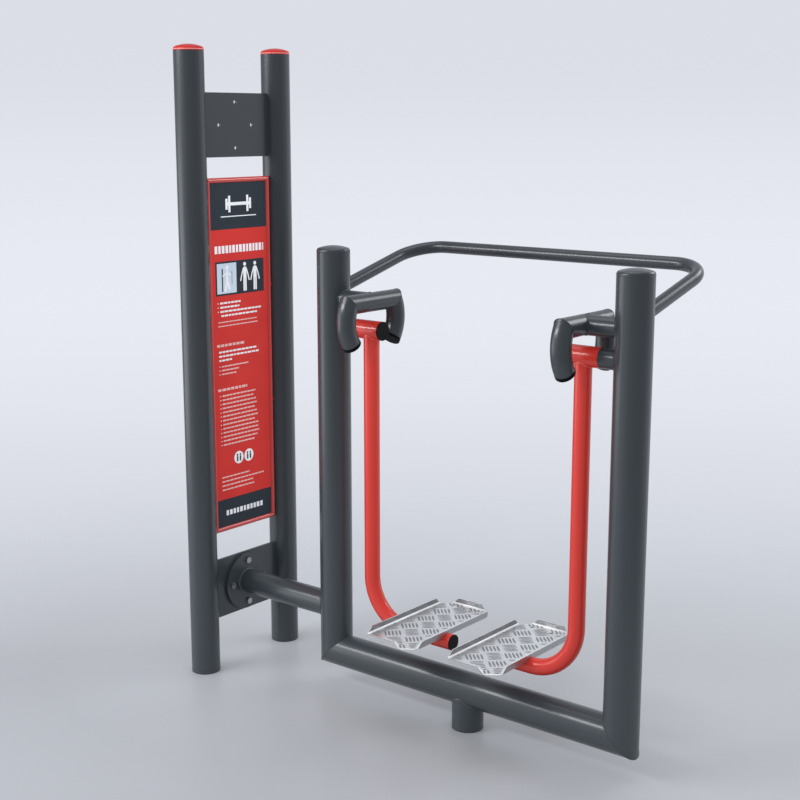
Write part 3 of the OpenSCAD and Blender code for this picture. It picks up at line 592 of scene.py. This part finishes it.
outline = [(x * HALF_W, y * HALF_L) for x, y in OUTLINE]
drains = [(x * HALF_W, y * HALF_L, DRAIN_CLEAR_R) for x, y in DRAINS]
bar_verts, bar_faces = lens_bars(outline, drains, height=0.0013, width=0.0066, length=0.042,
                                 pitch=0.0108, cell=0.080, shift=(0.110 - PEDAL_X, -0.041))
for word, side in SIDES:
    verts = [(side * PEDAL_X + x, y, TREAD_Z - BAR_SINK + z) for x, y, z in bar_verts]
    piece("tread_bars_" + word, verts, bar_faces, word + "_leg", "tread", TREAD_BARS)


# Bends at the foot of the folds that stand up, and rounded edges where the sheet turns down, in a
# near-white coat: painted highlights along the bends and edges

FOLD_R, FOLD_STEPS, FOLD_SINK = 0.0035, 6, 0.0005
FAR_FOLD_END = 0.634                # as a share of the half width
EDGES, EDGE_R, EDGE_SINK, EDGE_STEPS = 5, 0.0011, 0.0010, 12


def bend_strip(start, end, inward):
    """Concave strip between the tread and a fold, from start to end; inward points to the
    tread."""
    start, end, inward = Vector(start), Vector(end), Vector(inward)
    verts, faces = [], []
    for p in (start, end):
        for k in range(FOLD_STEPS + 1):
            a = math.pi / 2 * k / FOLD_STEPS
            verts.append(p + inward * FOLD_R * (1 - math.sin(a))
                         + Vector((0, 0, FOLD_R * (1 - math.cos(a)))))
        verts.append(p - inward * FOLD_SINK - Vector((0, 0, FOLD_SINK)))
    count = FOLD_STEPS + 2
    for k in range(count):
        m = (k + 1) % count
        faces.append((k, m, count + m, count + k))
    faces.append(tuple(range(count))[::-1])
    faces.append(tuple(range(count, 2 * count)))
    return verts, faces


for word, side in SIDES:
    x0 = side * PEDAL_X
    corners = [(x0 + x, y, TREAD_Z) for x, y in outline]
    far_end = (x0 + FAR_FOLD_END * HALF_W, HALF_L, TREAD_Z)
    # Near-white strips in the bends: painted highlights.
    for edge, start, end, inward in (("side", corners[0], corners[7], X),
                                     ("far", corners[6], far_end, (0, -1, 0))):
        piece("bend_%s_%s" % (edge, word), *bend_strip(start, end, inward), word + "_leg",
              "tread", FOLD_HIGHLIGHT_COAT)
    sunk = [(x, y, z - EDGE_SINK) for x, y, z in corners]
    # Thin near-white rods along the tread's edges: painted highlights.
    for i in range(EDGES):
        piece("tread_edge_highlight_%d_%s" % (i, word),
              *stick(sunk[i], sunk[i + 1], EDGE_R, steps=EDGE_STEPS, ripple=0.0),
              word + "_leg", "tread", FOLD_HIGHLIGHT_COAT)


# Printing on the sign board, as thin film. A patch is a hair thicker than the one before, in turns
# of FILM_STEPS, so that patches which overlap don't share a face.

FILM, FILM_STEP, FILM_STEPS, FILM_SINK = 0.0003, 0.00001, 16, 0.0001
patches = itertools.count(1)
film_shapes = {key: ([], []) for key in PRINTS}


def film(key, corners, level=1):
    """A flat patch of print. Corners are (across, height) in metres, in order."""
    verts, faces = film_shapes[key]
    base, count = len(verts), len(corners)
    for x in (BOARD_X - FILM_SINK,
              BOARD_X + FILM * level + FILM_STEP * (next(patches) % FILM_STEPS)):
        verts.extend((x, y, z) for y, z in corners)
    faces.append(tuple(base + count + i for i in range(count)))
    for i in range(count):
        j = (i + 1) % count
        faces.append((base + i, base + j, base + count + j, base + count + i))


def bar(key, y0, y1, z0, z1, level=1):
    film(key, [(y0, z0), (y1, z0), (y1, z1), (y0, z1)], level)


def disc(key, y, z, r, level=1, steps=28):
    turns = [2 * math.pi * i / steps for i in range(steps)]
    film(key, [(y + r * math.cos(a), z + r * math.sin(a)) for a in turns], level)


def limb(key, ends, wide, level=1):
    """A stroke of a pictogram from point to point."""
    for (ay, az), (by, bz) in zip(ends, ends[1:]):
        length = math.hypot(by - ay, bz - az)
        ny, nz = -(bz - az) / length * wide / 2, (by - ay) / length * wide / 2
        film(key, [(ay - ny, az - nz), (by - ny, bz - nz), (by + ny, bz + nz), (ay + ny, az + nz)],
             level)
        disc(key, by, bz, wide / 2, level, 12)
    disc(key, *ends[0], wide / 2, level, 12)


BLOCK_MIN, BLOCK_RANGE, BLOCK_GAP, ROW_REST = 0.006, 0.016, 0.0048, 0.004
TALL_ROW, TALL_SHARE = 0.015, 0.75


def row(key, y0, y1, z, height, seed, level=1):
    """A row of plain blocks of uneven width, narrower in a tall row."""
    y, i = y0, 0
    while y < y1 - ROW_REST:
        share = 0.5 + 0.5 * noise.noise(Vector((seed * 3.1, i * 1.7, 0)))
        wide = BLOCK_MIN + BLOCK_RANGE * share
        if height > TALL_ROW:
            wide *= TALL_SHARE
        wide = min(wide, y1 - y)
        bar(key, y, y + wide, z - height / 2, z + height / 2, level)
        y += wide + min(height * 0.5, BLOCK_GAP)
        i += 1


def rows(key, shares, start, full, top, pitch, height, seed, dot=None):
    """Rows one below the other, each a share of the full width. Where dot gives a place across
    and a radius, each row has one before it."""
    for i, share in enumerate(shares):
        z = top - pitch * i
        if dot:
            disc("white", dot[0], z, dot[1])
        row(key, start, start + full * share, z, height, seed + i)


def walker_figure():
    """The first pictogram: a figure between the parts of a machine."""
    limb("dark", [(-0.078, 1.242), (-0.078, 1.312)], 0.005, 3)
    limb("dark", [(-0.036, 1.262), (-0.036, 1.304)], 0.0016, 3)
    disc("white", -0.057, 1.316, 0.0075, 3)
    limb("white", [(-0.057, 1.303), (-0.057, 1.276), (-0.066, 1.244)], 0.009, 3)
    limb("white", [(-0.057, 1.276), (-0.048, 1.248)], 0.009, 3)
    limb("white", [(-0.076, 1.291), (-0.057, 1.300), (-0.040, 1.291)], 0.0045, 3)


def standing_figure(y):
    """The second and third pictogram: a plain standing figure."""
    disc("white", y, 1.322, 0.0062, 2)
    limb("white", [(y, 1.307), (y, 1.284)], 0.014, 2)
    limb("white", [(y - 0.006, 1.309), (y - 0.014, 1.288), (y - 0.019, 1.270)], 0.0045, 2)
    limb("white", [(y + 0.006, 1.309), (y + 0.014, 1.288), (y + 0.019, 1.270)], 0.0045, 2)
    limb("white", [(y - 0.004, 1.284), (y - 0.004, 1.238)], 0.0065, 2)
    limb("white", [(y + 0.004, 1.284), (y + 0.004, 1.238)], 0.0065, 2)


LIST_Y, LIST_W = -0.090, 0.192      # where listed rows start, and their full width
TEXT_Y, TEXT_W = -0.100, 0.200      # the same for other rows
HEADING_Y, SMALL_DOT = -0.108, (-0.098, 0.0018)

# Dark fields at the head and foot of the board
bar("dark", -BOARD_Y, BOARD_Y, 1.437, BOARD_HIGH_Z)
bar("dark", -BOARD_Y, BOARD_Y, BOARD_LOW_Z, 0.560)
# Header: a plain dumb-bell above a rule
limb("white", [(-0.052, 1.516), (0.052, 1.516)], 0.010, 2)
for y, tall in ((-0.040, 0.026), (-0.052, 0.017), (0.040, 0.026), (0.052, 0.017)):
    bar("white", y - 0.0045, y + 0.0045, 1.516 - tall, 1.516 + tall, 2)
bar("white", -0.078, 0.078, 1.4755, 1.4785, 2)
# Title
row("white", HEADING_Y, 0.108, 1.374, 0.024, seed=1)
# Three pictograms on one dark panel
bar("dark", -0.107, 0.108, 1.228, 1.336)
bar("pale", -0.101, -0.016, 1.234, 1.330, 2)
walker_figure()
for y in (0.022, 0.068):
    standing_figure(y)
# First list, whose last entry runs on, and two fine rows
rows("white", (0.48, 0.44, 0.95), LIST_Y, LIST_W, 1.204, 0.0135, 0.0056, 10, (-0.099, 0.0020))
row("white", -0.086, -0.086 + LIST_W * 0.84, 1.204 - 0.0135 * 3, 0.0056, seed=13)
rows("fine", (0.86, 0.90), TEXT_Y, TEXT_W, 1.143, 0.0125, 0.0034, 20)
# Second part: heading, bold rows and a short list
row("fine", HEADING_Y, 0.012, 1.068, 0.0080, seed=30)
rows("white", (0.84, 0.92, 0.28), TEXT_Y, TEXT_W, 1.047, 0.0135, 0.0056, 32)
rows("fine", (0.62, 0.40, 0.36), LIST_Y, LIST_W, 1.000, 0.0125, 0.0044, 36, SMALL_DOT)
# Third part: heading and a long list
row("fine", HEADING_Y, 0.022, 0.924, 0.0080, seed=40)
uneven = [0.60 + 0.38 * (0.5 + 0.5 * noise.noise(Vector((i * 2.3, 4.4, 1.2)))) for i in range(13)]
rows("fine", uneven, LIST_Y, LIST_W, 0.904, 0.0135, 0.0048, 50, SMALL_DOT)
# Two round signs with two plain figures each
for y in (-0.023, 0.023):
    disc("white", y, 0.690, 0.0208)
    for lean in (-0.0065, 0.0065):
        disc("dark", y + lean, 0.699, 0.0034, 2, 14)
        limb("dark", [(y + lean, 0.692), (y + lean, 0.680)], 0.0062, 2)
# Last rows, and the row on the foot
rows("fine", (0.62, 0.95, 0.70, 0.72), TEXT_Y, TEXT_W, 0.634, 0.0140, 0.0044, 70)
row("white", -0.085, 0.088, 0.513, 0.0170, seed=90, level=2)

for key, (verts, faces) in film_shapes.items():
    piece("sign_print_" + key, verts, faces, "frame", "sign_face", PRINTS[key], smooth=False)


# Softened edges on the folded sheet of the pedals

for word, _ in SIDES:
    pedal = nodes["pedal_" + word]
    weld = pedal.modifiers.new("join", "WELD")
    weld.merge_threshold = 0.00001
    edge = pedal.modifiers.new("edge", "BEVEL")
    edge.width = 0.0014
    edge.segments = 3
    edge.limit_method = "ANGLE"
    edge.angle_limit = math.radians(40)
    edge.harden_normals = True


# Floor

FLOOR_REACH = 6.0
FLOOR_BACK, FLOOR_ACROSS = (-0.63, 0.776, 0.0), (0.776, 0.63, 0.0)
FLOOR_MIDDLE, PAINTED_LIGHT_SPOT = (-0.15, 0.0, 0.0), (-0.82, 0.08, 0.0)


def floor_material():
    """Pale studio floor, fading out all round. Its colour holds painted shade and light: darker
    towards the front and to the left, lighter towards the back, and lighter by the pylon, where it
    lifts the shade there.
    """
    s = Shader("pale_floor")
    place = s.add("ShaderNodeNewGeometry").outputs["Position"]
    faint = s.span(s.noise(0.8, 3), 0, 1)
    # Painted shade and light: the floor is darker near the front and to the left, and lighter
    # towards the back.
    near_left = s.tint(faint, linear(161, 163, 167), linear(165, 167, 171))
    near_right = s.tint(faint, linear(171, 173, 176), linear(175, 177, 180))
    far = s.tint(faint, linear(198, 201, 206), linear(202, 205, 210))
    across = s.span(s.measure("DOT_PRODUCT", place, FLOOR_ACROSS), 0, 1, -0.3, 0.6)
    back = s.span(s.measure("DOT_PRODUCT", place, FLOOR_BACK), 0, 1, 0.55, 2.6)
    # Painted light: a lighter patch by the pylon that lifts the shade there.
    painted_light_by_pylon = s.span(s.measure("DISTANCE", place, PAINTED_LIGHT_SPOT), 0.75, 0, 0.1, 0.80)
    colour = s.tint(back, s.tint(across, near_left, near_right), far)
    s.finish(s.tint(painted_light_by_pylon, colour, linear(184, 186, 190)), 0.34, Specular_IOR_Level=0.35)
    fade = s.smooth(s.measure("DISTANCE", place, FLOOR_MIDDLE), 0, 1, 1.0, 3.4)
    clear = s.add("ShaderNodeBsdfTransparent").outputs[0]
    s.put(s.out.inputs["Surface"], s.mix_shaders(fade, s.main.outputs[0], clear))
    return s.mat


floor_mesh = bpy.data.meshes.new("floor")
floor_mesh.from_pydata([(x * FLOOR_REACH, y * FLOOR_REACH, 0)
                        for x, y in ((-1, -1), (1, -1), (1, 1), (-1, 1))], [], [(0, 1, 2, 3)])
floor = bpy.data.objects.new("floor", floor_mesh)
bpy.context.scene.collection.objects.link(floor)
floor.data.materials.append(floor_material())


# Lights

MIDDLE = (-0.1, 0, 0.8)


def softbox(name, place, size, power, aim=MIDDLE, roll=0.0):
    """A square or oblong area light, turned about its own axis by roll degrees."""
    light = bpy.data.lights.new(name, "AREA")
    light.shape = "RECTANGLE"
    light.size, light.size_y = size
    light.energy = power
    lamp = bpy.data.objects.new(name, light)
    bpy.context.scene.collection.objects.link(lamp)
    lamp.location = place
    turn = Quaternion(Z, math.radians(roll))
    look = (Vector(aim) - Vector(place)).to_track_quat("-Z", "Y")
    lamp.rotation_euler = (look @ turn).to_euler()
    lamp.visible_camera = False
    return lamp


softbox("key_light", (-2.15, -2.95, 2.85), size=(2.5, 0.6), power=72, roll=16)
softbox("top_light", (-0.4, 0.2, 4.4), size=(2.8, 2.8), power=30)
left_panel = softbox("left_panel", (-3.0, -1.8, 0.9), size=(2.2, 1.6), power=17,
                     aim=(-0.5, 0, 0.8))
left_panel.visible_diffuse = False
softbox("back_light", (1.4, 3.1, 3.3), size=(1.8, 1.2), power=28)
low_fill = softbox("low_fill", (-1.6, -3.6, 0.7), size=(2.4, 1.2), power=14)
low_fill.visible_glossy = False


# World

# Backdrop: the upward part of the view's direction, and how light it is from 0 to 255
BACKDROP = ((-0.45, 190), (-0.40, 190.5), (-0.335, 202), (-0.30, 208), (-0.26, 216), (-0.19, 227),
            (-0.155, 230.2), (-0.13, 231.3), (-0.09, 231), (-0.035, 227), (0.007, 222),
            (0.034, 219.3), (0.075, 219))
BACKDROP_LOW, BACKDROP_HIGH = -0.5, 0.1
LIT_COLOUR = (0.60, 0.615, 0.65, 1)
DARK_SIDE, DIM_SIDE = (0.84, -0.54, 0.0), (-0.98, 0.19, 0.0)


def studio_world():
    """Pale backdrop for the camera, soft light all round, and a darker studio for reflections:
    overhead, on the side away from the backdrop, and a little behind the pylon."""
    world = bpy.data.worlds.new("studio")
    bpy.context.scene.world = world
    world.use_nodes = True
    t = Tree(world.node_tree)
    t.tree.nodes.clear()
    ray = t.add("ShaderNodeTexCoord").outputs["Generated"]
    up = t.height(ray)

    ramp = t.add("ShaderNodeValToRGB", Fac=t.span(up, 0, 1, BACKDROP_LOW, BACKDROP_HIGH))
    elements = ramp.color_ramp.elements
    elements.remove(elements[1])
    for i, (z, level) in enumerate(BACKDROP):
        place = (z - BACKDROP_LOW) / (BACKDROP_HIGH - BACKDROP_LOW)
        element = elements.new(place) if i else elements[0]
        element.position = place
        element.color = linear(level, level + 3, level + 11)
    backdrop = ramp.outputs["Color"]
    shown = t.add("ShaderNodeBackground", Color=backdrop).outputs[0]
    lit = t.add("ShaderNodeBackground", Color=LIT_COLOUR,
                Strength=t.smooth(up, 1.90, 1.35, 0.2, 0.9)).outputs[0]

    dark_side = t.smooth(t.measure("DOT_PRODUCT", ray, DARK_SIDE), 1.0, 0.31, -0.1, 0.9)
    overhead = t.smooth(up, 1.0, 0.5, 0.35, 0.85)
    dim_side = t.smooth(t.measure("DOT_PRODUCT", ray, DIM_SIDE), 1.0, 0.5, 0.6, 0.97)
    strength = t.number("MULTIPLY", t.number("MULTIPLY", dark_side, overhead), dim_side)
    mirrored = t.add("ShaderNodeBackground", Color=backdrop, Strength=strength).outputs[0]

    path = t.add("ShaderNodeLightPath").outputs
    seen = t.number("MAXIMUM", path["Is Camera Ray"], path["Is Transmission Ray"])
    around = t.mix_shaders(path["Is Glossy Ray"], lit, mirrored)
    t.add("ShaderNodeOutputWorld", Surface=t.mix_shaders(seen, around, shown))


studio_world()
bpy.context.scene.view_settings.view_transform = "Standard"


# Camera, as fitted to the photograph

CAMERA_PLACE, CAMERA_LENS_MM = (2.28936, -3.14112, 1.77593), 62.586
CAMERA_TURN, CAMERA_DIP = math.radians(39.0607), math.radians(11.3779)

lens = bpy.data.cameras.new("camera")
lens.sensor_width = 36
lens.lens = CAMERA_LENS_MM
lens.clip_end = 60
camera = bpy.data.objects.new("camera", lens)
bpy.context.scene.collection.objects.link(camera)
camera.location = CAMERA_PLACE
forward = Vector((-math.sin(CAMERA_TURN) * math.cos(CAMERA_DIP),
                  math.cos(CAMERA_TURN) * math.cos(CAMERA_DIP), -math.sin(CAMERA_DIP)))
camera.rotation_euler = forward.to_track_quat("-Z", "Y").to_euler()
bpy.context.scene.camera = camera
